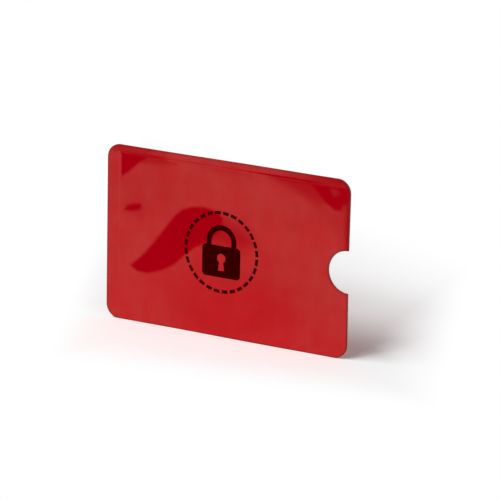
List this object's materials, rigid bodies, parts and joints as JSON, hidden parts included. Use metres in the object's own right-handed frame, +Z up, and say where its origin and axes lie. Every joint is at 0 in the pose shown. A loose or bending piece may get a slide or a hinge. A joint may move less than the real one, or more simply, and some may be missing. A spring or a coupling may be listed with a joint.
{
  "type": "rfid card sleeve",
  "caption": "Slim laminated sleeve with a foil screen that holds a bank card behind a rounded thumb notch in its open short end.",
  "frame": {"origin": "middle of the bottom long edge, in the plane between the two panels, on the surface that the sleeve stands on", "axes": "+X along the long side towards the open end with the thumb notch, +Y from the front panel to the back panel, +Z up"},
  "size_m": [0.091, 0.0014, 0.06],
  "materials": {
    "film": "glossy film printed red on its inner side",
    "board": "paperboard dyed dark red through, which shows only along the cut edges",
    "foil": "bright rolled foil",
    "liner": "smooth satin heat-seal liner",
    "glue": "set glue, pale and matt"
  },
  "bodies": {
    "root": {"front_film": "film", "front_board": "board", "front_board_rim": "board", "front_foil": "foil", "front_liner": "liner", "top_glue_strip": "glue", "bottom_glue_strip": "glue", "end_glue_strip": "glue", "back_liner": "liner", "back_foil": "foil", "back_board_rim": "board", "back_board": "board", "back_film": "film"}
  },
  "joints": []
}
